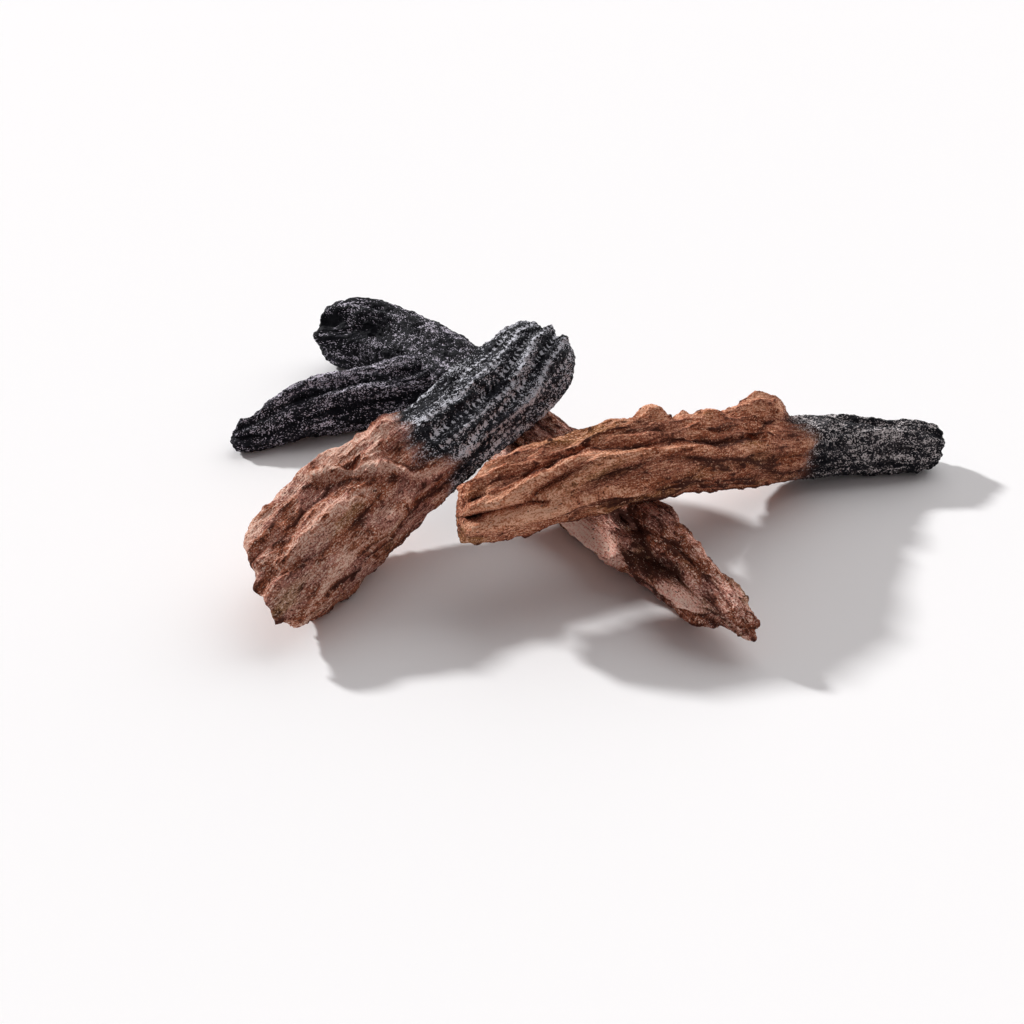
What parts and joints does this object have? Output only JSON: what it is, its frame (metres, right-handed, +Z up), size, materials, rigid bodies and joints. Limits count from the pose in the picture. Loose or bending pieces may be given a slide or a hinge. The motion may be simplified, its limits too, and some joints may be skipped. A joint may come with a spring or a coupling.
{
  "type": "decorative log set",
  "caption": "Stack of loose cast ceramic logs for a fireplace: a forked base log carries a broad log and a slender knobbed one, each half brown bark and half charred.",
  "frame": {"origin": "on the floor, under the middle of the whole set's bounding box", "axes": "+Z up, +X to the right and +Y away from whoever faces the set from its front"},
  "size_m": [0.374, 0.3192, 0.0782],
  "materials": {
    "base_log_ceramic": "matt airbrushed brown, fading to a semi-gloss charred black over the back half",
    "left_log_ceramic": "matt airbrushed brown at the low end, fading to a semi-gloss charred black with ash specks",
    "right_log_ceramic": "matt airbrushed brown with a charred black tip"
  },
  "bodies": {
    "base_log": {"base_log": "base_log_ceramic"},
    "left_log": {"left_log": "left_log_ceramic"},
    "right_log": {"right_log": "right_log_ceramic"}
  },
  "joints": [
    {"name": "left_log_lift", "type": "slide", "parent": "base_log", "child": "left_log", "axis": [0, 0, 1], "range_m": [0, 0.12]},
    {"name": "right_log_lift", "type": "slide", "parent": "base_log", "child": "right_log", "axis": [0, 0, 1], "range_m": [0, 0.12]}
  ]
}
